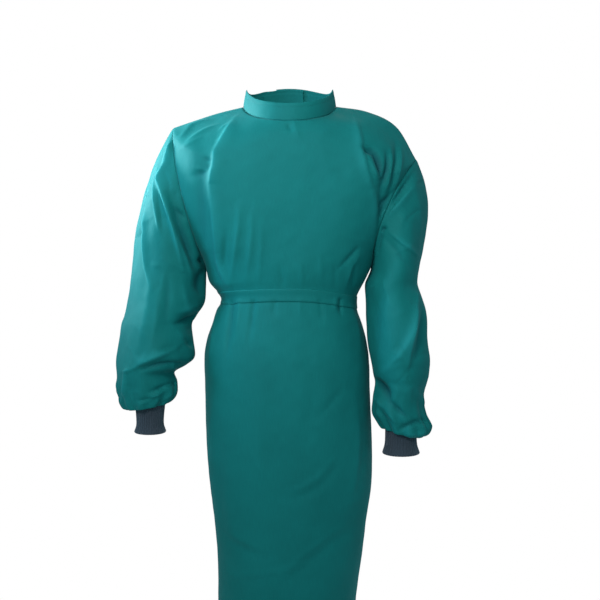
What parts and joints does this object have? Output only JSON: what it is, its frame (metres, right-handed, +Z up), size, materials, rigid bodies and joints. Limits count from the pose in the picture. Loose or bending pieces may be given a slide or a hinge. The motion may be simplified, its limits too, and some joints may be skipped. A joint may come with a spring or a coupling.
{
  "type": "surgical gown",
  "caption": "Reusable cloth surgical gown in its hollow worn form, with full sleeves on rib-knit cuffs, a standing neckband, a lapped open back and a tied waist belt.",
  "frame": {"origin": "inside the neck opening, level with the two side neck points, where the wearer's neck and shoulders carry the gown", "axes": "+Z up, -Y towards the front of the gown, +X towards the wearer's left"},
  "size_m": [0.657, 0.2509, 1.2953],
  "materials": {
    "gown_cloth": "matt woven cotton blend, teal green",
    "rib_knit": "matt rib knit, dark slate"
  },
  "bodies": {
    "root": {"front_panel": "gown_cloth", "back_panel_right": "gown_cloth", "back_panel_left": "gown_cloth", "sleeve_right": "gown_cloth", "sleeve_left": "gown_cloth", "neckband": "gown_cloth", "belt": "gown_cloth", "belt_knot": "gown_cloth", "belt_tail_right": "gown_cloth", "belt_tail_left": "gown_cloth", "cuff_right": "rib_knit", "cuff_left": "rib_knit"}
  },
  "joints": []
}
